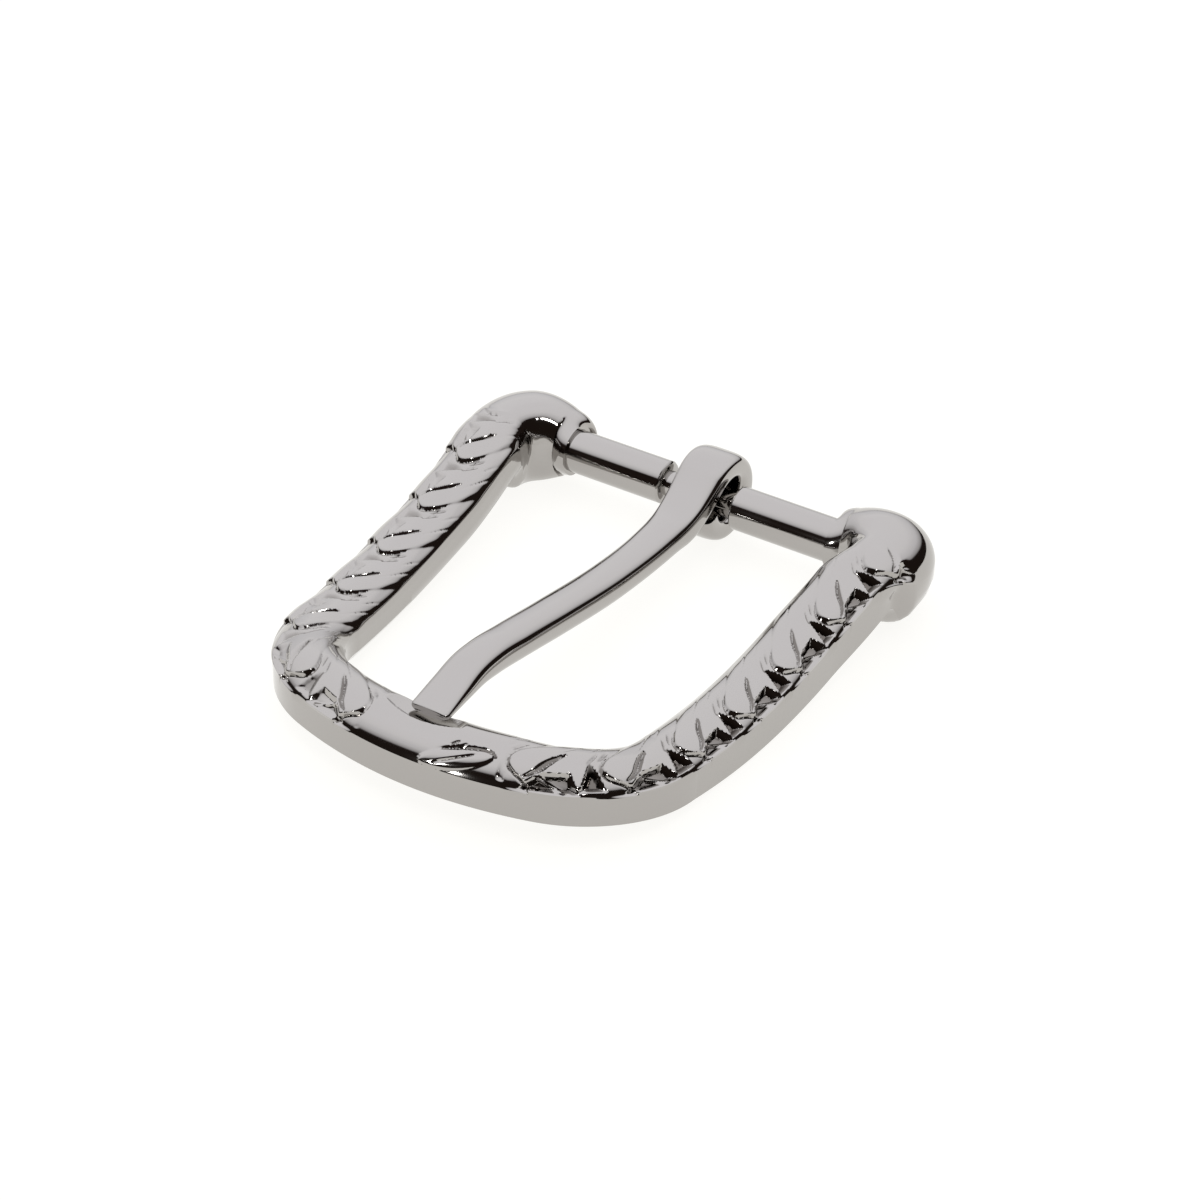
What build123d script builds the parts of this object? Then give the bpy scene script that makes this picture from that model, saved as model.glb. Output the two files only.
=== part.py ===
"""Belt buckle with a swinging prong, for a 35 mm strap.

Frame: X runs along the heel bar, +Y from the front bar to the heel, +Z up.
The origin is the middle of the heel bar, on its axis.  Millimetres.
"""
import math
import os

from build123d import *

os.makedirs("parts", exist_ok=True)

# Heel bar
BAR_CLEAR = 36.0        # clear bar between the lugs: a 35 mm strap and 1 mm of play
BAR_R = 2.7             # heel bar radius
NECK_R = 1.6            # turned neck that the prong loop rides on
NECK_HALF = 4.8         # half length of the neck
SEAT = 5.0              # how deep each bar end sits in its lug
BAR_EDGE = 0.5          # chamfer at the neck shoulders

# Frame band
BAND_W = 8.0            # width of the band, seen from above
HEEL_HALF = 24.5        # bar middle to arm centreline at the heel
FRONT_HALF = 21.9       # the same where the arms meet the front bar
REACH = 52.6            # bar axis to that meeting point
FRONT_BOW = 6.4         # how far the front bar bows forward of it
ARM_BOW = 0.7           # outward bow of each arm
CORNER_R = 12.8         # centreline radius of the front corners
BASE_Z = -5.3           # lowest line of the underside, below the bar axis
OUTER_EDGE_R = 2.4      # rounding of the crown on the outside
INNER_EDGE_R = 3.3      # rounding of the crown on the inside

# Side profile of the band: (behind the bar axis, above it), front bar to heel
UNDERSIDE = [(-70.0, -1.7), (-63.0, -2.35), (-55.0, -3.1), (-47.0, -4.4), (-36.0, BASE_Z), (-24.0, -4.6),
             (-13.0, -2.7), (-6.5, -0.9), (2.0, 1.6)]
CROWN = [(-70.0, 6.3), (-59.0, 4.1), (-47.0, 1.75), (-36.0, 1.15), (-26.0, 1.9), (-17.0, 3.5),
         (-9.0, 5.15), (-3.0, 5.65), (2.0, 5.4)]

# Round lugs at the ends of the arms
LUG_R = 5.55
LUG_Y = 0.5             # lug centre behind the bar axis
LUG_Z = 0.25            # lug centre above the bar axis
LUG_PROUD = 1.4         # how far the lug's outer face stands proud of the arm
LUG_EDGE_R = 3.8        # rounding of the lug's outer face
LUG_NOSE_R = 3.6        # lug radius at its inner face, round the bar
LUG_TAPER = 4.9         # length of the taper from there to the full radius
LUG_TAPER_R = 4.0       # rounding where the taper meets the full radius
LUG_NOSE_EDGE_R = 0.6   # rounding of the inner face's edge

# Prong
PRONG_W = 6.2           # width of the loop
SHANK_W = 5.2           # width of the shank
TIP_W = 5.0             # width at the tip
PRONG_EDGE_R = 0.65     # rounding of the long edges
LOOP_R = 5.5            # outside radius of the loop
LOOP_HOLE_R = 2.6       # hole in the loop
LOOP_Y = 0.75           # loop centre behind the bar axis
LOOP_Z = 0.2            # loop centre above the bar axis
SHANK_Y = -12.0         # where the shank has drawn in to its width
JOIN_TOP = 125          # degrees round the loop, from +Y towards +Z, where the shank's top leaves it
JOIN_UNDER = 205        # and where its underside does
SEAM = 0.3              # slit where the curled end meets the shank
SEAM_LONG = 4.4         # its length
SEAM_AT = 207           # degrees round the loop
SEAM_MID_R = 4.1        # loop centre to the middle of the slit
# Shank seen from the side: (behind the bar axis, above it), loop to tip
TIP_Y = -57.2           # end of the prong
SHANK_TOP = [(-9.0, 1.9), (-15.0, 1.75), (-22.0, 2.25), (-34.0, 4.15), (-42.0, 5.6), (-47.0, 6.4),
             (-49.5, 6.4), (-53.0, 5.45), (TIP_Y, 4.15)]
SHANK_UNDER = [(-9.0, -2.0), (-15.0, -2.0), (-22.0, -1.5), (-34.0, 0.4), (-42.0, 1.9), (-47.0, 2.75),
               (-50.0, 3.05), (-53.0, 2.95), (TIP_Y, 2.75)]

# Rest for the prong: a shallow saddle across the front bar
REST_R = 9.0            # radius of the saddle
REST_Z = 2.55           # bottom of the saddle under the prong's tip
REST_SLOPE = 8.0        # degrees it climbs towards the front

ROOM = 20.0             # more than half the buckle's height, for shapes that cut through it


def outline(grow, back_y):
    """Closed plan outline at distance grow outside the band centreline, cut off at back_y."""
    lean = (HEEL_HALF - FRONT_HALF) / REACH
    front_y = -REACH - 0.35 * grow
    half_front = FRONT_HALF + grow
    half_back = HEEL_HALF + grow + lean * back_y
    mid_x = (half_front + half_back) / 2 + ARM_BOW
    mid_y = (front_y + back_y) / 2
    with BuildSketch(Plane.XY.offset(-ROOM)) as plan:
        with BuildLine():
            ThreePointArc((-half_front, front_y), (0, -REACH - FRONT_BOW - grow), (half_front, front_y))
            ThreePointArc((half_front, front_y), (mid_x, mid_y), (half_back, back_y))
            Line((half_back, back_y), (-half_back, back_y))
            ThreePointArc((-half_back, back_y), (-mid_x, mid_y), (-half_front, front_y))
        make_face()
        fillet(plan.vertices().sort_by(Axis.Y)[0:2], CORNER_R + grow)
    return plan.sketch


lug_face = HEEL_HALF + BAND_W / 2 + LUG_PROUD

# Cast frame: a horseshoe band whose arms rise at the rear to a round lug on each side
with BuildPart() as frame:
    # the plate inside the band's outer outline
    extrude(outline(BAND_W / 2, LUG_Y), amount=2 * ROOM)
    # side profile: low in the middle of the arms, lifted at the front bar and at the heel
    with BuildSketch(Plane.YZ) as side:
        with BuildLine():
            Spline(*UNDERSIDE)
            Line(UNDERSIDE[-1], CROWN[-1])
            Spline(*reversed(CROWN))
            Line(CROWN[0], UNDERSIDE[0])
        make_face()
    extrude(side.sketch, amount=2 * ROOM, both=True, mode=Mode.INTERSECT)
    # crown rounded on the outside
    crown = max(frame.faces(), key=lambda f: f.normal_at().Z)
    outer_rim = crown.edges().filter_by(lambda e: (e @ 0.5).Y < LUG_Y - 0.1)
    fillet(outer_rim, OUTER_EDGE_R)
    # belt window, then the crown rounded on the inside
    extrude(outline(-BAND_W / 2, LUG_Y + 1), amount=2 * ROOM, mode=Mode.SUBTRACT)
    cut = frame.edges(Select.LAST)
    inner_rim = cut.filter_by(lambda e: (e @ 0.5).Z > 0 and (e @ 0.5).Y < LUG_Y - 0.1 and e.length > 7)
    fillet(inner_rim, INNER_EDGE_R)
    # saddle that takes the prong's tip
    with BuildSketch(Plane((0, TIP_Y, REST_Z + REST_R), x_dir=(1, 0, 0), z_dir=(0, 1, 0)).rotated(
            (-REST_SLOPE, 0, 0))) as rest:
        Circle(REST_R)
    extrude(rest.sketch, amount=BAND_W, both=True, mode=Mode.SUBTRACT)
    # one lug, turned about the axis through its middle, then its mirror image
    with BuildSketch(Plane.XY.offset(LUG_Z)) as lug:
        with BuildLine():
            Polyline((BAR_CLEAR / 2, LUG_Y), (BAR_CLEAR / 2, LUG_Y + LUG_NOSE_R),
                     (BAR_CLEAR / 2 + LUG_TAPER, LUG_Y + LUG_R), (lug_face, LUG_Y + LUG_R),
                     (lug_face, LUG_Y), (BAR_CLEAR / 2, LUG_Y))
        make_face()
        fillet(lug.vertices().sort_by(Axis.Y)[-2:].sort_by(Axis.X)[-1], LUG_EDGE_R)
        fillet(lug.vertices().sort_by(Axis.Y)[-2:].sort_by(Axis.X)[0], LUG_TAPER_R)
        fillet(lug.vertices().sort_by(Axis.X)[0:2].sort_by(Axis.Y)[-1], LUG_NOSE_EDGE_R)
    turned = revolve(lug.sketch, axis=Axis((0, LUG_Y, LUG_Z), (1, 0, 0)), mode=Mode.PRIVATE)
    add(turned)
    add(turned.mirror(Plane.YZ))
    # blind sockets for the ends of the heel bar
    with BuildSketch(Plane.YZ.offset(-BAR_CLEAR / 2 - SEAT)) as socket:
        Circle(BAR_R)
    extrude(socket.sketch, amount=BAR_CLEAR + 2 * SEAT, mode=Mode.SUBTRACT)
frame.part.label = "frame"
export_step(frame.part, "parts/frame.step")

# Heel bar: a turned pin with a neck in the middle for the prong
with BuildPart() as heel_bar:
    with BuildSketch(Plane.XY) as bar_half:
        with BuildLine():
            end_x = BAR_CLEAR / 2 + SEAT
            Polyline((-end_x, 0), (-end_x, BAR_R), (-NECK_HALF - BAR_EDGE, BAR_R),
                     (-NECK_HALF, BAR_R - BAR_EDGE), (-NECK_HALF, NECK_R), (NECK_HALF, NECK_R),
                     (NECK_HALF, BAR_R - BAR_EDGE), (NECK_HALF + BAR_EDGE, BAR_R),
                     (end_x, BAR_R), (end_x, 0), (-end_x, 0))
        make_face()
    revolve(bar_half.sketch, axis=Axis.X)
heel_bar.part.label = "heel_bar"
export_step(heel_bar.part, "parts/heel_bar.step")


def on_loop(angle, radius=LOOP_R):
    """Point at radius from the loop's centre, angle in degrees from +Y towards +Z."""
    turn = math.radians(angle)
    return (LOOP_Y + radius * math.cos(turn), LOOP_Z + radius * math.sin(turn))


# Prong: flat-topped shank running forward from a loop curled round the bar's neck
with BuildPart() as prong:
    with BuildSketch(Plane.YZ) as profile:
        with BuildLine():
            Line(SHANK_UNDER[-1], SHANK_TOP[-1])
            Spline(*reversed(SHANK_TOP), on_loop(JOIN_TOP), tangents=((1, 0.3), (0.82, 0.57)))
            Line(on_loop(JOIN_TOP), (LOOP_Y, LOOP_Z))
            Line((LOOP_Y, LOOP_Z), on_loop(JOIN_UNDER))
            Spline(on_loop(JOIN_UNDER), *SHANK_UNDER, tangents=((-1, 0.35), (-1, -0.05)))
        make_face()
        with Locations((LOOP_Y, LOOP_Z)):
            Circle(LOOP_R)
    extrude(profile.sketch, amount=PRONG_W / 2, both=True)
    # sides: wide round the loop, drawn in to the shank, then tapering to the tip
    with BuildSketch(Plane.XY.offset(-ROOM)) as taper:
        loop_back = LOOP_Y + LOOP_R
        for hand in (-1, 1):
            with BuildLine():
                Line((0, loop_back), (hand * PRONG_W / 2, loop_back))
                Line((hand * PRONG_W / 2, loop_back), (hand * PRONG_W / 2, LOOP_Y))
                Spline((hand * PRONG_W / 2, LOOP_Y), (hand * SHANK_W / 2, SHANK_Y), (hand * TIP_W / 2, TIP_Y),
                       tangents=((0, -1), (0, -1)))
                Line((hand * TIP_W / 2, TIP_Y), (0, TIP_Y))
                Line((0, TIP_Y), (0, loop_back))
            make_face()
    extrude(taper.sketch, amount=2 * ROOM, mode=Mode.INTERSECT)
    long_edges = prong.edges().filter_by(lambda e: min(abs((e @ 0).X), abs((e @ 0.5).X)) > 2
                                         and abs((e @ 0.5).Y - TIP_Y) > 0.1)
    fillet(long_edges, PRONG_EDGE_R)
    # hole of the loop
    with BuildSketch(Plane.YZ.offset(-PRONG_W)) as hole:
        with Locations((LOOP_Y, LOOP_Z)):
            Circle(LOOP_HOLE_R)
    extrude(hole.sketch, amount=2 * PRONG_W, mode=Mode.SUBTRACT)
    # seam where the curled end comes up against the shank
    with BuildSketch(Plane.YZ.offset(-PRONG_W)) as seam:
        with Locations(on_loop(SEAM_AT, SEAM_MID_R)):
            Rectangle(SEAM_LONG, SEAM, rotation=SEAM_AT)
    extrude(seam.sketch, amount=2 * PRONG_W, mode=Mode.SUBTRACT)
prong.part.label = "prong"
export_step(prong.part, "parts/prong.step")
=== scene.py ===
"""Looks of the belt buckle: engraved nickel-plated frame, turned heel bar and formed prong.

Row frame: X along the heel bar, +Y towards the heel, +Z up.  Lengths below are millimetres
until make_piece turns them into metres.
"""
import math

import bpy
import numpy as np
from mathutils import Matrix, Vector


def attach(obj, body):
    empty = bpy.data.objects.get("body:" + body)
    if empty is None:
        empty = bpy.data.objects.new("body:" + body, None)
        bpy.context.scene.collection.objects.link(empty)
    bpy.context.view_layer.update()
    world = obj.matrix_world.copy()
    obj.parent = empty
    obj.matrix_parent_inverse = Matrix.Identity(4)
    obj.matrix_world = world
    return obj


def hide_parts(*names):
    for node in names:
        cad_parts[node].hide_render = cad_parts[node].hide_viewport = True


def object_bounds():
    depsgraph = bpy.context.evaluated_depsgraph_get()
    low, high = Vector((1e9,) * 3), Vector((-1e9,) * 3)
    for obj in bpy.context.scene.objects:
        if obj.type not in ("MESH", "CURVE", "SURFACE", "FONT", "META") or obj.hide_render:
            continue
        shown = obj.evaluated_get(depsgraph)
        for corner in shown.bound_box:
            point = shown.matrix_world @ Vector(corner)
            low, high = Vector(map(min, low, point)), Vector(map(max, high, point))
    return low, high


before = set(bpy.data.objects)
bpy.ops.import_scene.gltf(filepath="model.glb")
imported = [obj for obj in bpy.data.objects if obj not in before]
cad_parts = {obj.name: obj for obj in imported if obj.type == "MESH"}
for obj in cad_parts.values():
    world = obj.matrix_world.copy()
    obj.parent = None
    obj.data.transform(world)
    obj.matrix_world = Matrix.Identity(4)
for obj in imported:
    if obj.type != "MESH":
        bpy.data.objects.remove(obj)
cad_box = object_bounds()

MM = 0.001
SHARP = math.radians(32)         # edges that turn more than this stay sharp

# Frame band
BAND_HALF = 4.0          # half width of the band
HEEL_HALF = 24.5         # bar middle to arm centreline at the heel
FRONT_HALF = 21.9        # the same where the arms meet the front bar
REACH = 52.6             # bar axis to that meeting point
FRONT_BOW = 6.4          # how far the front bar bows forward of it
ARM_BOW = 0.7            # outward bow of each arm
FLARE = 0.9              # how far each arm leans out over its last stretch before the lug
FLARE_LONG = 15.0        # length of that stretch
CORNER_R = 12.8          # centreline radius of the front corners
HEEL_R = 5.6             # centreline radius where an arm turns in to its lug
UNDERSIDE = [(-63.0, -2.35), (-59.0, -2.45), (-55.0, -3.0), (-47.0, -4.4), (-36.0, -5.3), (-24.0, -4.6),
             (-13.0, -2.7), (-6.5, -0.9), (3.0, 1.6)]
CROWN = [(-63.0, 4.4), (-59.0, 4.1), (-47.0, 1.75), (-36.0, 1.15), (-26.0, 1.9), (-17.0, 3.5),
         (-9.0, 5.15), (-3.0, 5.7), (3.0, 5.6)]
OUTER_WALL = (4.0, 5.4)  # height of the plain outer wall at the front and at the heel
INNER_WALL = (3.7, 5.6)  # height of the plain inner wall at the front and at the heel
BASE_EDGE = 0.45         # rounding of the band's lower edges
DOME_OUTER = math.radians(24)   # where the crown's ellipse starts above the outer wall
DOME_INNER = math.radians(18)   # and where it ends at the inner wall
CREST_IN = 0.35          # how far the crest lies inside the band's middle
CROWN_COLUMNS = 80       # grid points across the crown
ROW_STEP = 0.156         # spacing of the sections
LUG_AHEAD = 4.0          # how far ahead of the heel bend the lug's own sections start
LUG_ROWS = 80            # and how many there are
CROWN_WIDTH = 10.95      # length of the crown's line from wall to wall

# Leaf border: t runs rearwards along the band from a leaf's curled edge, d inwards from the wall
LEAF_PERIOD = 9.0
LEAF_START_RIGHT = 2.0   # where the periods are counted from, from the front middle
LEAF_START_LEFT = 5.5
LEFT_DEPTH = 0.55        # depth of the left side's pockets as a share of the right side's
LEFT_SHIFT = 1.7         # the left arm's border sits this much further in
LEAF_HEIGHTS = (0.13, 0.30)      # height of a curled edge near the inner rim, and added to it further out
GROUND = 0.15            # how far the whole border lies below the plain crown
EDGE_CUT = 0.16          # depth of the line along a curled edge
LINE_CUT = 0.10          # depth of the fine lines behind it
FINE_LINES = ((0.36, 5.2, 9.6, 1.5), (0.62, 6.4, 8.8, 1.2))      # share of the period, d from, to, fade
VEIN_CUT = (0.38, 0.66)  # half width and depth of the vein
BARB_CUT = (0.26, 0.22)  # the same for the two barbs beside it
BARBS = ((3.3, 4.2, 6.4), (4.5, 4.7, 6.7))       # shift along t, d from, d to
LONG_DEPTH = 0.85        # depths of the two pockets
SHORT_DEPTH = 0.80
RIDGE = (0.34, 0.30)     # height and half width of the ridge across a pocket
RIDGE_AT = (4.2, 1.5)    # the point it runs through
SLANT = (0.55, 0.83)     # and the direction across it
BORDER_FROM = {1: 10.2, -1: 5.0}         # where the border starts on the right and on the left
BORDER_FADE = (1.2, 2.0)         # length of its fading in and out
BORDER_PAST = 0.6        # how far it runs on past the start of the heel bend
# Curves as points (d, t), pockets as corners (t, d)
LEAF_EDGE = [(0.0, 2.6), (1.4, 1.7), (2.2, 0.55), (3.2, 0.0), (4.2, 0.15), (5.2, 0.9), (6.5, 2.6), (8.0, 4.8),
             (9.5, 7.0), (11.0, 9.2)]
VEIN = [(1.7, 2.0), (2.6, 3.1), (3.6, 3.8), (4.6, 4.6), (5.7, 5.8)]
BARB_AT = (4.3, 6.0)     # t of a barb's two ends, before its shift
POCKET_LONG = [(1.5, 0.35), (6.9, 0.35), (6.2, 3.0), (3.4, 2.6)]
POCKET_SHORT = [(6.7, 0.7), (9.1, 0.8), (8.8, 2.8), (8.0, 5.2)]
CUT_SLOPE = 1.25         # steepness of the pockets' sides
SCORE_SLANT = 0.72       # distance square to a scored line for one along t
SINGLE_LEAF = (6.0, 1.9)         # middle of the single leaf beside the prong's tip
SINGLE_TURN = (0.93, 0.36)       # its direction along the band and inwards
SINGLE_HALF = (3.9, 1.25)        # its half length and half width
SINGLE_HEIGHT = 0.26
SINGLE_CUTS = (0.42, 0.20)       # depth of its outline and of its midrib
REST_R = 9.0             # saddle in the front bar under the prong's tip
REST_Z = 2.5             # the saddle's height under the tip
REST_SLOPE = math.radians(8)     # its fall towards the window
SADDLE_HALF = 5.0        # half width of the part of the front bar it may cut
SADDLE_ABOVE = 3.0       # and the least height above the underside
SADDLE_Y = -50.0         # and its rearmost place
SEAT_STEP = 0.9          # steepness of the saddle's front end
SEAT_END = 0.8           # how far past the tip that starts

# Lugs and heel bar
LUG_R = 5.5
LUG_SQUARE = 2.9         # how square the lug's corner is in plan: 2 round, larger squarer
LUG_FULL = 2.2           # the same for its section
LUG_Y = 0.5              # the lug's middle, rearwards of the bar's axis
LUG_Z = 0.2              # and above it
LUG_FACE = 5.9           # arm centreline to the lug's outer face
LUG_INNER = 3.5          # lug's middle to its side towards the strap
LUG_ANGLES = (-48, 8, 172, 228, 312)     # where outer wall, crown, inner wall and underside meet on its round
LUG_NARROWS = 0.55       # share of the heel bend after which the lug narrows to its nose
NOSE_POWER = 1.8         # how late it does so
BAND_TO_LUG_TOP = (6.0, 8.0)     # where the crown starts to turn round, ahead of the heel bend, and how long
BAND_TO_LUG_LOW = (2.6, 3.0)     # the same for the walls and underside
NOSE_X = 18.0            # inner face of the lug
NOSE_R = 3.2
NOSE_LIP = 0.2           # step in from the nose's edge to the rim of its socket
SOCKET_GAP = 0.03        # socket wall to bar
BAR_R = 2.7
BAR_EDGE = 0.35          # rounding of the bar's shoulders at its neck
NECK_R = 1.6
NECK_HALF = 4.8
SEAT = 5.0               # depth of the bar's ends in the lugs
SEAT_GAP = 0.05          # bar's end to the socket's bottom

# Prong
LOOP_Y, LOOP_Z = 0.75, 0.2
LOOP_R, LOOP_HOLE_R = 5.5, 2.6
TIP_Y = -57.2
CURL = (190, 485)        # angles of the curl's start and end round the bar, in degrees
SHANK_Y = -9.0           # where the shank starts, in front of the curl
CURL_TO_SHANK = 1.1      # stiffness of the curve that joins them
SHANK_TOP = [(SHANK_Y, 1.9), (-15.0, 1.75), (-22.0, 2.25), (-34.0, 4.15), (-42.0, 5.6), (-47.0, 6.4),
             (-49.5, 6.4), (-53.0, 5.45), (TIP_Y, 4.15)]
SHANK_UNDER = [(SHANK_Y, -2.0), (-15.0, -2.0), (-22.0, -1.5), (-34.0, 0.4), (-42.0, 1.9), (-47.0, 2.75),
               (-50.0, 3.05), (-53.0, 2.95), (TIP_Y, 2.75)]
SHANK_SQUARE = 2.2       # superellipse power of the shank's section
LOOP_SQUARE = 3.4        # and of the curl's
UNDER_SQUARER = 0.5      # added to both on the underside
TIP_ROUND = 0.6          # length of the tip's rounded edge
TIP_SHRINK = 0.16        # how much smaller the section is at its very end
PRONG_LEAN = 0.6         # sideways play taken up at the loop, none at the tip
PRONG_HALF = [(6.3, 3.1), (0.0, 3.1), (-5.0, 2.85), (-12.0, 2.6), (-30.0, 2.55), (TIP_Y, 2.4)]


# ---------------------------------------------------------------- shape helpers
def smooth_step(t):
    """0 below t=0, 1 above t=1, and 3t^2 - 2t^3 in between."""
    t = np.clip(t, 0.0, 1.0)
    return t * t * (3.0 - 2.0 * t)


def through(points, at):
    """Height of the curve through the points at each place: cubic Hermite pieces whose slope at a
    point is that of the line joining its two neighbours."""
    x, y = np.array(sorted(points)).T
    slope = np.gradient(y, x)
    at = np.clip(at, x[0], x[-1])
    i = np.clip(np.searchsorted(x, at) - 1, 0, len(x) - 2)
    h = x[i + 1] - x[i]
    t = (at - x[i]) / h
    return ((1 + 2 * t) * (1 - t) ** 2 * y[i] + t * (1 - t) ** 2 * h * slope[i]
            + t * t * (3 - 2 * t) * y[i + 1] + t * t * (t - 1) * h * slope[i + 1])


def make_piece(name, grid, material, depth=None):
    """Mesh from a grid of points (rows, columns, xyz) in millimetres.  Columns close on themselves,
    and the first and last rows are closed with one point each at their mean.  depth is how deep
    each point is cut, kept as the attribute cut_depth."""
    rows, cols = grid.shape[:2]
    ends = np.stack([grid[0].mean(0), grid[-1].mean(0)])
    points = np.concatenate([grid.reshape(-1, 3), ends]) * MM
    r, c = np.meshgrid(np.arange(rows - 1), np.arange(cols), indexing="ij")
    n = (c + 1) % cols
    quads = np.stack([r * cols + c, r * cols + n, (r + 1) * cols + n, (r + 1) * cols + c], -1)
    quads = quads.reshape(-1, 4)
    k = np.arange(cols)
    first = np.stack([np.full(cols, rows * cols), (k + 1) % cols, k], -1)
    last = np.stack([np.full(cols, rows * cols + 1), (rows - 1) * cols + k,
                     (rows - 1) * cols + (k + 1) % cols], -1)
    mesh = bpy.data.meshes.new(name)
    mesh.from_pydata(points.tolist(), [], quads.tolist() + first.tolist() + last.tolist())
    mesh.update()
    # cut_depth also sets the engraved material's painted shade in deep cuts
    if depth is not None:
        layer = mesh.attributes.new("cut_depth", "FLOAT", "POINT")
        layer.data.foreach_set("value", np.append(depth.ravel(), [0.0, 0.0]).astype(np.float32))
    mesh.shade_smooth()
    mesh.set_sharp_from_angle(angle=SHARP)
    piece = bpy.data.objects.new(name, mesh)
    bpy.context.scene.collection.objects.link(piece)
    mesh.materials.append(material)
    return piece


# ---------------------------------------------------------------- engraved frame
def arc(centre, radius, start, end, count):
    """Points of a circular arc, start and end in radians."""
    turn = np.linspace(start, end, count)
    return np.stack([centre[0] + radius * np.cos(turn), centre[1] + radius * np.sin(turn)], -1)


def half_centreline():
    """Right half of the band's centreline in plan, front middle to lug nose: front arc, corner arc
    tangent to it and to the arm, straight arm with a parabolic bow, heel arc, and the stub.  Gives
    the points and how many there are up to the heel arc."""
    front_count, corner_count, arm_count = 300, 300, 400
    front_r = (FRONT_HALF ** 2 + FRONT_BOW ** 2) / (2 * FRONT_BOW)
    front_y = -REACH - FRONT_BOW + front_r
    arm = np.array([HEEL_HALF - FRONT_HALF, REACH])
    arm /= np.hypot(*arm)
    inward = np.array([-arm[1], arm[0]])
    start = np.array([FRONT_HALF, -REACH]) + inward * CORNER_R - (0, front_y)
    b = 2 * start @ arm
    c = start @ start - (front_r - CORNER_R) ** 2
    along = (-b - math.sqrt(b * b - 4 * c)) / 2
    if abs(start[1] + along * arm[1]) < abs(start[1] + (-b - along) * arm[1]):
        along = -b - along
    corner = start + along * arm + (0, front_y)
    meet = math.atan2(corner[1] - front_y, corner[0])
    leave = math.atan2(-inward[1], -inward[0])
    heel_y = LUG_Y - HEEL_R
    arm_start = corner - inward * CORNER_R
    arm_end = np.array([HEEL_HALF, heel_y])
    t = np.linspace(0, 1, arm_count)[:, None]
    bowed = arm_start + (arm_end - arm_start) * t + np.array([ARM_BOW, 0]) * 4 * t * (1 - t)
    bowed[:, 0] += FLARE * smooth_step((bowed[:, 1] - heel_y) / FLARE_LONG + 1)
    heel_x = HEEL_HALF + FLARE - HEEL_R
    inward_way = np.linspace(0, 1, 60)
    stub = np.stack([heel_x + (NOSE_X - heel_x) * inward_way, LUG_Y * (1 - smooth_step(inward_way))], -1)
    line = np.concatenate([
        arc((0, front_y), front_r, -math.pi / 2, meet, front_count),
        arc(corner, CORNER_R, meet, leave, corner_count)[1:],
        bowed[1:],
        arc((heel_x, heel_y), HEEL_R, 0, math.pi / 2, 120)[1:],
        stub[1:]])
    return line, front_count + corner_count - 1 + arm_count - 1


def chip(t, d, corners, depth):
    """Pyramid cut of a chip-carved pocket: the depth grows with the distance to the nearest side of
    a polygon whose corners (t, d) run round it in one sense, up to the depth given."""
    corners = np.array(corners)
    ahead = np.roll(corners, -1, 0)
    area = np.sum(corners[:, 0] * ahead[:, 1] - ahead[:, 0] * corners[:, 1])
    nearest = np.full(t.shape, 99.0)
    for (t0, d0), (t1, d1) in zip(corners, ahead):
        side = ((t1 - t0) * (d - d0) - (d1 - d0) * (t - t0)) / math.hypot(t1 - t0, d1 - d0)
        nearest = np.minimum(nearest, side * math.copysign(1, area))
    return -np.clip(nearest * CUT_SLOPE, 0, depth)


def score(t, d, line, half_width, depth):
    """V cut along a curve t(d) through the points (d, t): deepest on the curve, as wide as
    half_width in its middle, and running out at both ends."""
    places = [p for p, _ in line]
    low, high = min(places), max(places)
    off = np.abs(t - through(line, d)) * SCORE_SLANT
    on = np.clip((d - low) * (high - d) / ((high - low) / 2) ** 2, 0, 1) ** 0.5
    return -depth * on * np.clip(1 - off / (half_width * on + 0.02), 0, 1)


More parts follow.
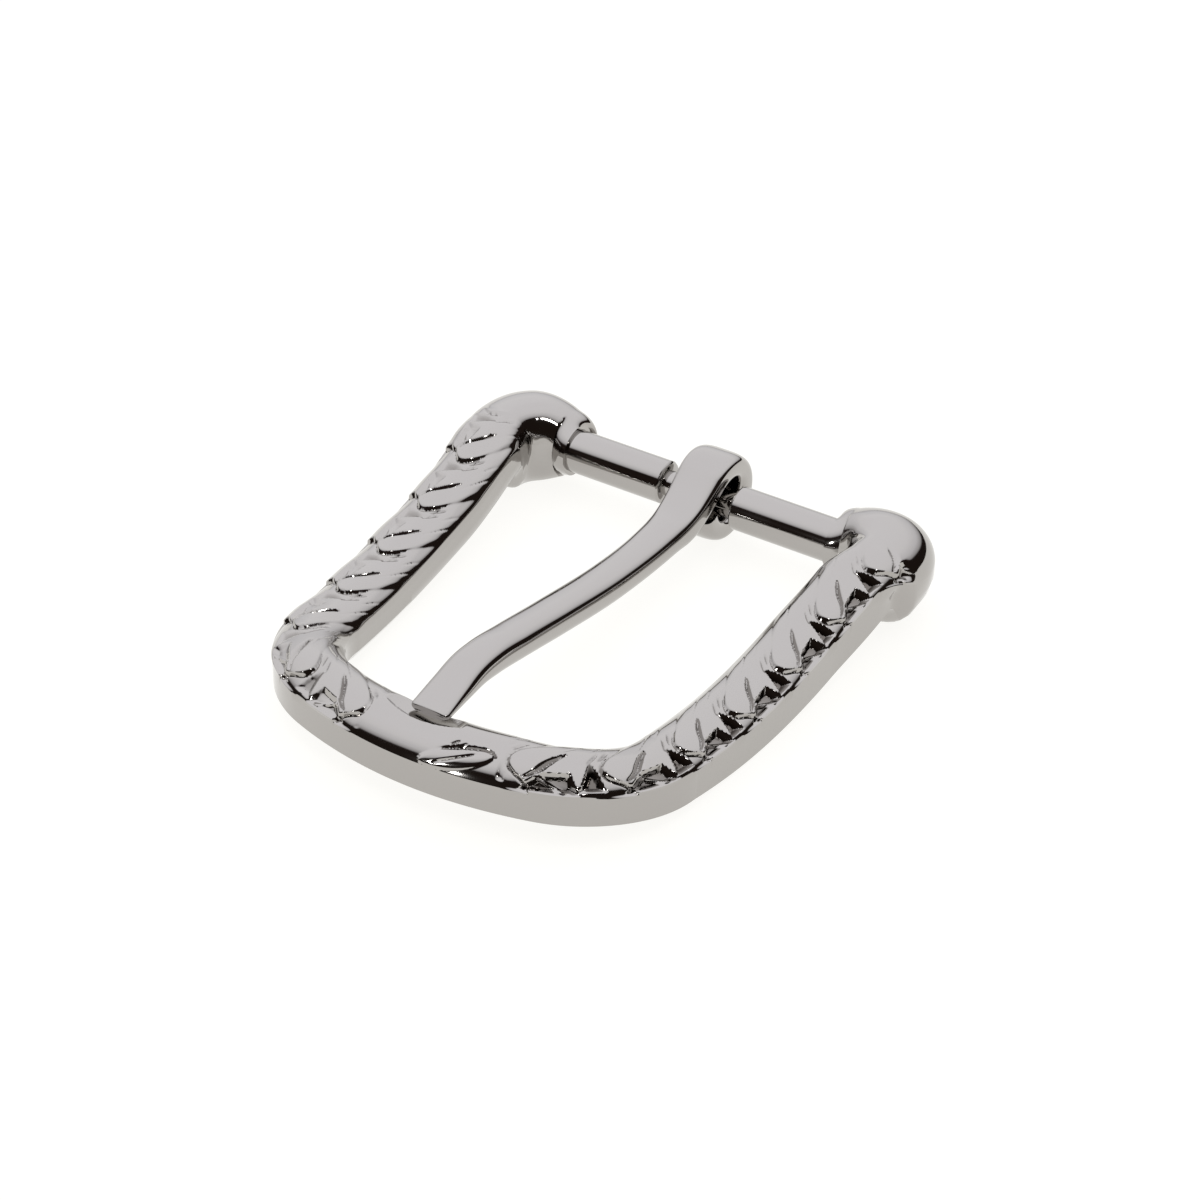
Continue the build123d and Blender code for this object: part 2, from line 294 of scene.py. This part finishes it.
def engraving(s, v):
    """Relief in mm at arc length s from the front middle (negative on the left) and place v across
    the crown.  Leaves lie over each other like scales, one to a period.  Each starts at a curled
    edge, a step that is steep round the leaf's nose and soft on the way to the inner rim, and falls
    away gently behind it.  With f the share of the period behind the curled edge, the leaf's height
    is its edge height, times f over the step's length (0.05 at the nose, 0.14 near the inner rim)
    to the power 0.6, times a smooth fall from f = 0.25 to 1.  A flame-shaped vein, two barbs, fine
    lines and two pockets are cut in each leaf, a ridge crosses the long pocket, and the deeper of
    cut and pocket counts."""
    side = np.abs(s)
    d = (1 - v) / 2 * CROWN_WIDTH - np.where(s > 0, 0, LEFT_SHIFT) * smooth_step((side - 18) / 12)
    start = np.where(s > 0, LEAF_START_RIGHT, LEAF_START_LEFT)
    curl = through(LEAF_EDGE, d)
    behind = (side - start - curl) / LEAF_PERIOD
    f = behind - np.floor(behind)
    height = LEAF_HEIGHTS[0] * smooth_step((10.4 - d) / 2.5) + LEAF_HEIGHTS[1] * smooth_step((6.5 - d) / 3.0)
    shoulder = 0.05 + 0.09 * smooth_step((d - 5.0) / 3.0)
    leaf = height * (np.clip(f / shoulder, 0, 1) ** 0.6 * (1 - smooth_step((f - 0.25) / 0.75)))
    groove = np.clip(1 - np.minimum(f, 1 - f) / 0.035, 0, 1) * smooth_step((7.0 - d) / 2.0)
    relief = leaf - EDGE_CUT * groove - GROUND
    for at, low, high, fade in FINE_LINES:
        line = np.clip(1 - np.abs(f - at) / 0.022, 0, 1)
        relief = relief - LINE_CUT * line * smooth_step(d - low) * smooth_step((high - d) / fade)
    t0 = side - start
    for turn in (0, 1):
        t = t0 - LEAF_PERIOD * np.floor(t0 / LEAF_PERIOD) + turn * LEAF_PERIOD
        cuts = score(t, d, VEIN, *VEIN_CUT)
        for shift, low, high in BARBS:
            cuts = cuts + score(t - shift, d, [(low, BARB_AT[0]), (high, BARB_AT[1])], *BARB_CUT)
        pockets = np.minimum(chip(t, d, POCKET_LONG, LONG_DEPTH), chip(t, d, POCKET_SHORT, SHORT_DEPTH))
        across = (t - RIDGE_AT[0]) * SLANT[0] + (d - RIDGE_AT[1]) * SLANT[1]
        ridge = RIDGE[0] * np.clip(1 - np.abs(across) / RIDGE[1], 0, 1)
        pockets = (pockets + ridge * (pockets < -0.25)) * np.where(s > 0, 1.0, LEFT_DEPTH)
        relief = relief + np.minimum(cuts, pockets)
    return relief


def front_leaf(s, v):
    """Relief of the single leaf beside the prong's tip: an ellipse in outline and in height, with a
    cut along one side of it, a midrib and two short cuts."""
    d = (1 - v) / 2 * CROWN_WIDTH
    from_s, from_d = s - SINGLE_LEAF[0], d - SINGLE_LEAF[1]
    along = from_s * SINGLE_TURN[0] + from_d * SINGLE_TURN[1]
    over = -from_s * SINGLE_TURN[1] + from_d * SINGLE_TURN[0]
    half_long, half_wide = SINGLE_HALF
    width = half_wide * np.sqrt(np.clip(1 - (along / half_long) ** 2, 0, 1)) + 0.02
    inside = np.clip(1 - (over / width) ** 2, 0, 1) * (np.abs(along) < half_long)
    rim = np.clip(1 - np.abs(over - width) / 0.38, 0, 1) * (np.abs(along) < half_long + 0.2)
    midrib = np.clip(1 - np.abs(over - 0.12 * along) / 0.20, 0, 1) * smooth_step((2.8 - np.abs(along)) / 1.5)
    relief = SINGLE_HEIGHT * np.sqrt(inside)
    relief = relief - SINGLE_CUTS[0] * rim * smooth_step((along + 2.5) / 3) - SINGLE_CUTS[1] * midrib
    relief = relief + score(s - 4.6, d, [(3.2, 0.2), (4.3, 1.2)], 0.22, 0.22)
    return relief + score(s - 5.6, d, [(3.3, 0.2), (4.2, 1.0)], 0.22, 0.2)


def frame_sections():
    """Half of the frame without its relief, as sections standing on the centreline.  A section is:
    outer wall, crown (part of an ellipse), inner wall and flat underside.  At the heel it turns into
    the round of the lug, whose outer reach from the corner's centre is a superellipse; the round
    narrows to the lug's nose.  Gives arc length, plan points, outward directions, and each
    section's points as distance outward n and height z, with the crown's columns."""
    line, arm_last = half_centreline()
    length = np.append(0, np.cumsum(np.hypot(*np.diff(line, axis=0).T)))
    total = length[-1]
    heel = length[arm_last - 1]
    lug_start = heel - LUG_AHEAD
    s = np.concatenate([np.arange(0, lug_start, ROW_STEP), np.linspace(lug_start, total, LUG_ROWS)])
    tangent = np.gradient(line, axis=0)
    tangent /= np.hypot(*tangent.T)[:, None]
    x, y = (np.interp(s, length, line[:, k]) for k in (0, 1))
    out_x, out_y = (np.interp(s, length, k) for k in (tangent[:, 1], -tangent[:, 0]))

    def column(values):
        return values[:, None]

    rear = np.clip((y + REACH) / REACH, 0, 1)
    low = column(through(UNDERSIDE, y))
    top = column(through(CROWN, y))
    outer = low + column(OUTER_WALL[0] + (OUTER_WALL[1] - OUTER_WALL[0]) * rear)
    inner = low + column(INNER_WALL[0] + (INNER_WALL[1] - INNER_WALL[0]) * rear)

    walls = np.linspace(0, 1, 5)[None, :-1]
    even = np.linspace(0, 1, CROWN_COLUMNS)
    finer_outside = 0.75 * even + 0.25 * even ** 4
    dome = (DOME_OUTER + (math.pi - DOME_INNER - DOME_OUTER) * finer_outside)[None, :]
    base = np.linspace(0, 1, 10)[None, 1:]
    wall_n = BAND_HALF + 0 * (low + walls)
    wall_z = low + BASE_EDGE + (outer - low - BASE_EDGE) * walls
    falling = dome < math.pi / 2
    dome_n = BAND_HALF * np.cos(dome) / np.where(falling, math.cos(DOME_OUTER), math.cos(DOME_INNER))
    foot = np.where(falling, outer, inner)
    least = np.where(falling, math.sin(DOME_OUTER), math.sin(DOME_INNER))
    dome_z = foot + (top - foot) * (np.sin(dome) - least) / (1 - least)
    dome_n = dome_n - CREST_IN * np.cos(dome_n / BAND_HALF * math.pi / 2) + 0 * dome_z
    in_z = inner + (low + BASE_EDGE - inner) * walls[:, 1:]
    in_n = -BAND_HALF + 0 * in_z
    flat_n = -BAND_HALF + 2 * BAND_HALF * base + 0 * low
    flat_z = low + BASE_EDGE * np.abs(2 * base - 1) ** 14
    n = np.concatenate([wall_n, dome_n, in_n, flat_n], 1)
    z = np.concatenate([wall_z, dome_z, in_z, flat_z], 1)

    foot_out, wall_out, wall_in, foot_in, foot_end = LUG_ANGLES
    turn = np.concatenate([np.linspace(foot_out, wall_out, 5)[:-1],
                           wall_out + (wall_in - wall_out) * finer_outside,
                           np.linspace(wall_in, foot_in, 5)[1:-1],
                           np.linspace(foot_in, foot_end, 10)[1:]])
    turn = np.radians(turn)[None, :]
    past = s - heel
    bend = HEEL_R * math.pi / 2
    angle = np.clip(past / bend, 0, 1) * math.pi / 2
    across, back = HEEL_R + LUG_FACE, HEEL_R + LUG_R
    reach = (np.cos(angle) / across) ** LUG_SQUARE + (np.sin(angle) / back) ** LUG_SQUARE
    reach = reach ** (-1 / LUG_SQUARE)
    narrows = bend * LUG_NARROWS
    nose = np.clip((past - narrows) / (total - heel - narrows), 0, 1) ** NOSE_POWER
    lug_r = LUG_R + (NOSE_R - LUG_R) * nose
    lug_out = (reach - HEEL_R) * lug_r / LUG_R
    lug_in = LUG_INNER + (NOSE_R - LUG_INNER) * nose
    full = column(2 / (LUG_FULL + (2 - LUG_FULL) * nose))
    swell_n = np.sign(np.cos(turn)) * np.abs(np.cos(turn)) ** full
    swell_z = np.sign(np.sin(turn)) * np.abs(np.sin(turn)) ** full
    lug_n = np.where(np.cos(turn) > 0, column(lug_out), column(lug_in)) * swell_n
    lug_z = column(LUG_Z * (1 - nose)) + column(lug_r) * swell_z
    upper = smooth_step((past + BAND_TO_LUG_TOP[0]) / BAND_TO_LUG_TOP[1])
    lower = smooth_step((past + BAND_TO_LUG_LOW[0]) / BAND_TO_LUG_LOW[1])
    high = smooth_step((np.sin(turn) + 0.55) / 0.8)
    blend = column(lower) + column(upper - lower) * high
    n = n + (lug_n - n) * blend
    z = z + (lug_z - z) * blend
    crown = slice(walls.shape[1], walls.shape[1] + CROWN_COLUMNS)
    return s, heel, np.stack([x, y], -1), np.stack([out_x, out_y], -1), n, z, low, crown, turn[0]


def build_frame(material):
    """The two halves of the frame with their relief along the crown's normal, the saddle for the
    prong (the lower of the crown and a trough of radius REST_R), and blind sockets round the bar's
    ends."""
    s, heel, plan, outward, n, z, low, crown, turn = frame_sections()
    dn = np.gradient(n[:, crown], axis=1)
    dz = np.gradient(z[:, crown], axis=1)
    size = np.hypot(dn, dz)
    walk = np.cumsum(size, 1)
    v = 1 - 2 * (walk - walk[:, :1]) / (walk[:, -1:] - walk[:, :1])
    edge = smooth_step((1.0 - v) / 0.06) * smooth_step((v + 1.0) / 0.3)
    halves = []
    depths = []
    for hand in (-1, 1):
        span = smooth_step((s - BORDER_FROM[hand]) / BORDER_FADE[0])
        span = span * smooth_step((heel + BORDER_PAST - s) / BORDER_FADE[1])
        place = hand * (s + 0.5 * np.clip(s - heel, 0, None))[:, None] + 0 * v
        relief = engraving(place, v) * span[:, None]
        if hand > 0:
            relief = relief + front_leaf(place, v)
        relief = relief * edge
        cut_n, cut_z = n.copy(), z.copy()
        cut_n[:, crown] += relief * dz / size
        cut_z[:, crown] -= relief * dn / size
        px = hand * (plan[:, :1] + outward[:, :1] * cut_n)
        py = plan[:, 1:] + outward[:, 1:] * cut_n
        rest = REST_R - np.sqrt(REST_R ** 2 - np.clip(px, -8, 8) ** 2)
        rest = rest + REST_Z + math.tan(REST_SLOPE) * (TIP_Y - py)
        rest = rest + SEAT_STEP * np.clip(TIP_Y - SEAT_END - py, 0, None)
        in_saddle = (cut_z > low + SADDLE_ABOVE) & (np.abs(px) < SADDLE_HALF) & (py < SADDLE_Y)
        cut_z = np.where(in_saddle, np.minimum(cut_z, rest), cut_z)
        deep = np.zeros_like(cut_n)
        deep[:, crown] = np.clip(-relief, 0, 1)
        halves.append(np.stack([px, py, cut_z], -1))
        depths.append(deep)
    grid = np.concatenate([halves[0][::-1], halves[1][1:]])
    depth = np.concatenate([depths[0][::-1], depths[1][1:]])
    hole_r = BAR_R + SOCKET_GAP
    steps = ((NOSE_X, NOSE_R - NOSE_LIP), (NOSE_X, hole_r), (NOSE_X + SEAT, hole_r))
    socket = np.stack([np.stack([0 * turn + place, r * np.cos(turn), r * np.sin(turn)], -1)
                       for place, r in steps])
    left = socket[::-1] * (-1, 1, 1)
    grid = np.concatenate([left, grid, socket])
    depth = np.pad(depth, ((len(steps), len(steps)), (0, 0)))
    return make_piece("engraved_frame", grid, material, depth=depth)


# ---------------------------------------------------------------- heel bar
def build_bar(material):
    """Turned pin: radius against place along X, carried round in a circle."""
    end = NOSE_X + SEAT - SEAT_GAP
    half = [(NECK_HALF, NECK_R), (NECK_HALF, BAR_R - BAR_EDGE), (NECK_HALF + 0.1, BAR_R - 0.17),
            (NECK_HALF + BAR_EDGE, BAR_R), (end, BAR_R), (end, 0.3)]
    profile = [(-a, r) for a, r in reversed(half)] + half
    x, r = np.array(profile).T
    turn = np.linspace(0, 2 * math.pi, 96, endpoint=False)
    grid = np.stack([x[:, None] + 0 * turn, r[:, None] * np.cos(turn), r[:, None] * np.sin(turn)], -1)
    return make_piece("turned_heel_bar", grid, material)


# ---------------------------------------------------------------- prong
def build_prong(material):
    """Superellipse section carried along the curl (a circular arc), a cubic Hermite joint and the
    shank: top and underside curves give its thickness, the plan curve its width."""
    mid_r = (LOOP_R + LOOP_HOLE_R) / 2
    curl = np.radians(np.linspace(*CURL, 120))
    loop_mid = np.stack([LOOP_Y + mid_r * np.cos(curl), LOOP_Z + mid_r * np.sin(curl)], -1)
    loop_thick = np.full(len(curl), LOOP_R - LOOP_HOLE_R)
    edge_y = TIP_Y + TIP_ROUND
    ys = np.concatenate([np.linspace(SHANK_Y, edge_y, 150)[:-1], np.linspace(edge_y, TIP_Y, 9)])
    shank_mid = np.stack([ys, (through(SHANK_TOP, ys) + through(SHANK_UNDER, ys)) / 2], -1)
    shank_thick = through(SHANK_TOP, ys) - through(SHANK_UNDER, ys)
    a, b = loop_mid[-1], shank_mid[0]
    ta = np.array([-math.sin(curl[-1]), math.cos(curl[-1])])
    tb = shank_mid[1] - shank_mid[0]
    tb /= np.hypot(*tb)
    t = np.linspace(0, 1, 40)[1:-1, None]
    reach = np.hypot(*(b - a)) * CURL_TO_SHANK
    joint = ((1 + 2 * t) * (1 - t) ** 2 * a + t * (1 - t) ** 2 * reach * ta
             + t * t * (3 - 2 * t) * b + t * t * (t - 1) * reach * tb)
    joint_thick = loop_thick[-1] + (shank_thick[0] - loop_thick[-1]) * smooth_step(t[:, 0])
    mid = np.concatenate([loop_mid, joint, shank_mid])
    thick = np.concatenate([loop_thick, joint_thick, shank_thick])
    half = through(PRONG_HALF, mid[:, 0])
    way = np.gradient(mid, axis=0)
    way /= np.hypot(*way.T)[:, None]
    up = np.stack([way[:, 1], -way[:, 0]], -1)
    left = np.append(np.cumsum(np.hypot(*np.diff(mid, axis=0).T)[::-1])[::-1], 0)
    blunt = 1 - TIP_SHRINK * (1 - np.sqrt(1 - np.clip(1 - left / TIP_ROUND, 0, 1) ** 2))
    square = SHANK_SQUARE + (LOOP_SQUARE - SHANK_SQUARE) * smooth_step((mid[:, 0] + 11) / 6)
    turn = np.linspace(0, 2 * math.pi, 72, endpoint=False)[None, :]
    power = 2 / (square[:, None] + UNDER_SQUARER * (np.sin(turn) < 0))
    px = (half * blunt)[:, None] * np.sign(np.cos(turn)) * np.abs(np.cos(turn)) ** power
    pz = (thick * blunt)[:, None] / 2 * np.sign(np.sin(turn)) * np.abs(np.sin(turn)) ** power
    px = px + (PRONG_LEAN * (mid[:, 0] - TIP_Y) / (LOOP_Y - TIP_Y))[:, None]
    grid = np.stack([px, mid[:, None, 0] + up[:, None, 0] * pz, mid[:, None, 1] + up[:, None, 1] * pz], -1)
    return make_piece("formed_prong", grid, material)


# ---------------------------------------------------------------- materials
PLATE = "#ABA8A5"
CUT_SHADE = "#4A423B"      # painted shade in the bottom of deep cuts
CLOUD_SIZE = 6.0         # mm, patches where the buffing is a little duller
RIPPLE_SIZE = 2.5        # mm, faint unevenness left by buffing
RIPPLE_DEPTH = 0.02      # mm


def colour(hex_code):
    """sRGB hex to linear RGBA."""
    c = np.array([int(hex_code[i:i + 2], 16) for i in (1, 3, 5)]) / 255
    linear = np.where(c <= 0.04045, c / 12.92, ((c + 0.055) / 1.055) ** 2.4)
    return (*linear.tolist(), 1.0)


def add_node(tree, kind, settings):
    """Adds a node, sets its properties and inputs, and links inputs given as sockets."""
    node = tree.nodes.new(kind)
    for key, value in settings.items():
        if isinstance(value, bpy.types.NodeSocket):
            tree.links.new(value, node.inputs[key])
        elif isinstance(key, str) and hasattr(node, key) and key not in node.inputs:
            setattr(node, key, value)
        else:
            node.inputs[key].default_value = value
    return node


def bright_nickel(name, engraved=False):
    """Bright nickel plate, buffed to a mirror: a faint warm cast, slightly duller patches and a
    faint ripple that break up the sharpest reflections, and painted shade darkening the bottom
    of deep cuts."""
    material = bpy.data.materials.new(name)
    material.use_nodes = True
    tree = material.node_tree
    tree.nodes.clear()
    place = add_node(tree, "ShaderNodeTexCoord", {}).outputs["Object"]
    cloud = add_node(tree, "ShaderNodeTexNoise",
                     {"Vector": place, "Scale": 1 / (CLOUD_SIZE * MM), "Detail": 3.0})
    rough = add_node(tree, "ShaderNodeMapRange",
                     {"Value": cloud.outputs["Fac"], "From Min": 0.3, "From Max": 0.7,
                      "To Min": 0.05, "To Max": 0.10})
    wave = add_node(tree, "ShaderNodeTexNoise",
                    {"Vector": place, "Scale": 1 / (RIPPLE_SIZE * MM), "Detail": 2.0})
    bump = add_node(tree, "ShaderNodeBump",
                    {"Height": wave.outputs["Fac"], "Strength": 0.12, "Distance": RIPPLE_DEPTH * MM})
    shader = add_node(tree, "ShaderNodeBsdfPrincipled",
                      {"Metallic": 1.0, "Roughness": rough.outputs["Result"],
                       "Normal": bump.outputs["Normal"]})
    if engraved:
        deep = add_node(tree, "ShaderNodeAttribute", {"attribute_name": "cut_depth"})
        # painted shade: the plate colour darkens with cut_depth, standing in for the shade at the bottom of
        # deep cuts
        painted_shade = add_node(tree, "ShaderNodeMapRange",
                        {"Value": deep.outputs["Fac"], "From Min": 0.25, "From Max": 0.75,
                         "To Min": 0.0, "To Max": 0.75})
        plate_to_shade = add_node(tree, "ShaderNodeMix", {"data_type": "RGBA"})
        tree.links.new(painted_shade.outputs["Result"], plate_to_shade.inputs["Factor"])
        plate_to_shade.inputs[6].default_value = colour(PLATE)
        plate_to_shade.inputs[7].default_value = colour(CUT_SHADE)
        tree.links.new(plate_to_shade.outputs[2], shader.inputs["Base Color"])
    else:
        shader.inputs["Base Color"].default_value = colour(PLATE)
    add_node(tree, "ShaderNodeOutputMaterial", {"Surface": shader.outputs["BSDF"]})
    return material


def opal_sheet():
    """Opal acrylic sheet of a light table, lit evenly from below, with a matt top."""
    material = bpy.data.materials.new("opal_acrylic_light_table")
    material.use_nodes = True
    shader = material.node_tree.nodes["Principled BSDF"]
    shader.inputs["Base Color"].default_value = colour("#747472")
    shader.inputs["Roughness"].default_value = 0.9
    shader.inputs["Specular IOR Level"].default_value = 0.1
    shader.inputs["Emission Color"].default_value = colour("#FFFEFB")
    shader.inputs["Emission Strength"].default_value = 0.90
    return material


# ---------------------------------------------------------------- pieces
engraved_frame = build_frame(bright_nickel("bright_nickel_on_zinc_casting", engraved=True))
heel_bar = build_bar(bright_nickel("bright_nickel_on_turned_steel"))
prong = build_prong(bright_nickel("bright_nickel_on_formed_steel"))
for piece, body, node, plate in ((engraved_frame, "buckle_body", "frame", "frame_plate"),
                                 (heel_bar, "buckle_body", "heel_bar", "bar_plate"),
                                 (prong, "prong_body", "prong", "prong_plate")):
    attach(piece, body)
    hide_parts(node)


# ---------------------------------------------------------------- table, light, camera
def table_top():
    """Top of the light table, just under the buckle's lowest line."""
    low = cad_box[0][2] - 0.02 * MM
    size = 1.2
    mesh = bpy.data.meshes.new("table_top")
    mesh.from_pydata([(-size, -size, low), (size, -size, low), (size, size, low), (-size, size, low)],
                     [], [(0, 1, 2, 3)])
    mesh.materials.append(opal_sheet())
    piece = bpy.data.objects.new("table_top", mesh)
    bpy.context.scene.collection.objects.link(piece)


def softbox(name, place, aim, width, height, watts):
    """Rectangular area light at place, facing aim."""
    lamp = bpy.data.lights.new(name, "AREA")
    lamp.shape = "RECTANGLE"
    lamp.size = width
    lamp.size_y = height
    lamp.energy = watts
    light = bpy.data.objects.new(name, lamp)
    light.location = place
    light.rotation_euler = (Vector(aim) - Vector(place)).to_track_quat("-Z", "Y").to_euler()
    bpy.context.scene.collection.objects.link(light)


def tent_light():
    """World: a bright tent over the table whose front edge is lifted, so that the dark room shows
    as a band above the horizon, tall in front and gone behind.  What is seen past the table's edge
    is a plain pale wall."""
    world = bpy.data.worlds.new("tent")
    bpy.context.scene.world = world
    world.use_nodes = True
    tree = world.node_tree
    tree.nodes.clear()
    way = add_node(tree, "ShaderNodeTexCoord", {}).outputs["Generated"]
    over_edge = add_node(tree, "ShaderNodeVectorMath",
                         {"operation": "DOT_PRODUCT", 0: way, 1: (-0.36, 0.38, 1.0)})
    ramp = add_node(tree, "ShaderNodeValToRGB", {"Fac": over_edge.outputs["Value"]})
    stops = ramp.color_ramp
    stops.elements[0].position = 0.43
    stops.elements[0].color = (0.016, 0.011, 0.009, 1)
    stops.elements[1].position = 1.0
    stops.elements[1].color = (1.0, 1.0, 1.04, 1)
    for place, shade in ((0.48, (0.45, 0.44, 0.45, 1)), (0.60, (0.78, 0.78, 0.81, 1)),
                         (0.80, (0.97, 0.97, 1.0, 1))):
        stops.elements.new(place).color = shade
    back = add_node(tree, "ShaderNodeBackground", {"Color": ramp.outputs["Color"], "Strength": 1.3})
    plain = add_node(tree, "ShaderNodeBackground", {"Color": colour("#F4F4F4"), "Strength": 1.0})
    seen = add_node(tree, "ShaderNodeLightPath", {}).outputs["Is Camera Ray"]
    either = add_node(tree, "ShaderNodeMixShader",
                      {0: seen, 1: back.outputs["Background"], 2: plain.outputs["Background"]})
    add_node(tree, "ShaderNodeOutputWorld", {"Surface": either.outputs["Shader"]})


def camera_at(azimuth, elevation, roll, distance, target, lens):
    """Camera on a sphere round target; azimuth from -Y towards +X, roll about the view axis."""
    az, el, ro = (math.radians(a) for a in (azimuth, elevation, roll))
    back = Vector((math.sin(az) * math.cos(el), -math.cos(az) * math.cos(el), math.sin(el)))
    right = Vector((math.cos(az), math.sin(az), 0))
    up = back.cross(right)
    turned_right = right * math.cos(ro) + up * math.sin(ro)
    turned_up = up * math.cos(ro) - right * math.sin(ro)
    data = bpy.data.cameras.new("camera")
    data.sensor_width = 36
    data.lens = lens
    data.clip_start = 0.01
    camera = bpy.data.objects.new("camera", data)
    turn = Matrix((turned_right, turned_up, back)).transposed()
    camera.matrix_world = Matrix.Translation(Vector(target) + back * distance) @ turn.to_4x4()
    bpy.context.scene.collection.objects.link(camera)
    bpy.context.scene.camera = camera


table_top()
tent_light()
softbox("front_lamp", (-0.10, -0.48, 0.17), (0, -0.03, 0), 0.05, 0.05, 0.16)
softbox("spark_lamp", (0.34, -0.22, 0.42), (0, -0.03, 0), 0.05, 0.05, 0.15)
camera_at(31.52, 35.04, 1.31, 0.3177, (0.00043, -0.02388, -0.00133), 83.214)
bpy.context.scene.view_settings.view_transform = "Standard"
